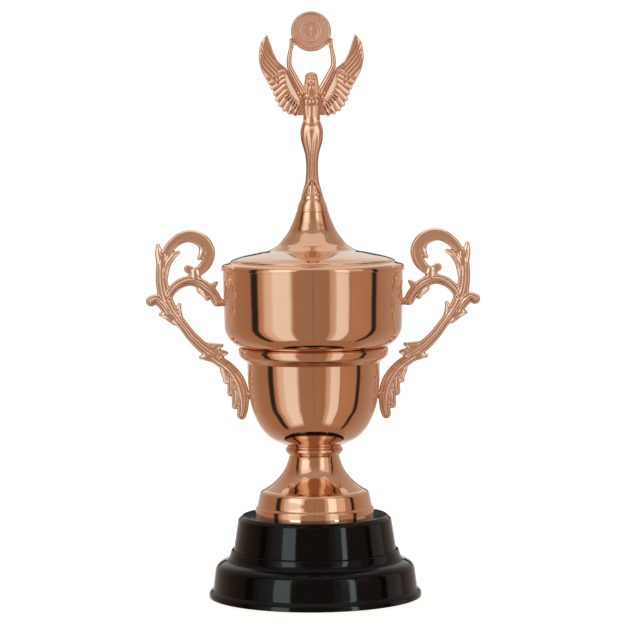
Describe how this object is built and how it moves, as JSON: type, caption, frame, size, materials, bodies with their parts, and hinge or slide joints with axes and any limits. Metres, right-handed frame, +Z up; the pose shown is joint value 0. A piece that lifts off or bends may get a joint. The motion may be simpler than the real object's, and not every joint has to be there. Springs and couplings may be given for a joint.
{
  "type": "cup trophy",
  "caption": "Lidded copper-finish cup trophy on a stepped black base, with scroll handles and a winged figure that holds up a disc; the lid lifts off.",
  "frame": {"origin": "centre of the underside of the base, on the surface that it stands on", "axes": "+Z up the trophy, +X towards the right-hand handle, the front faces -Y"},
  "size_m": [0.3344, 0.2134, 0.5846],
  "materials": {
    "copper_spun": "polished copper plate on spun metal",
    "copper_cast": "polished copper plate on castings",
    "base_black": "gloss black moulding",
    "felt": "black felt",
    "iron": "raw casting",
    "fastener_steel": "zinc-plated steel"
  },
  "bodies": {
    "trophy": {"base_felt": "felt", "base_lower_tier": "base_black", "base_upper_tier": "base_black", "base_weight": "iron", "tie_rod": "fastener_steel", "rod_foot_washer": "fastener_steel", "rod_foot_nut": "fastener_steel", "rod_cup_washer": "fastener_steel", "rod_cup_nut": "fastener_steel", "pedestal_foot": "copper_spun", "stem_collar": "copper_spun", "lower_bowl": "copper_spun", "waist_ring": "copper_spun", "upper_cup": "copper_spun", "handle_left": "copper_cast", "handle_right": "copper_cast", "handle_screws": "fastener_steel", "handle_screw_washers": "fastener_steel"},
    "lid": {"lid": "copper_spun", "figure_body": "copper_cast", "wing_left": "copper_cast", "wing_right": "copper_cast", "medal_frame": "copper_cast", "medal_front": "copper_cast", "medal_back": "copper_cast", "figure_bolt": "fastener_steel", "figure_washer": "fastener_steel"}
  },
  "joints": [
    {"name": "lid_lift", "type": "slide", "parent": "trophy", "child": "lid", "axis": [0, 0, 1], "range_m": [0, 0.15]}
  ]
}
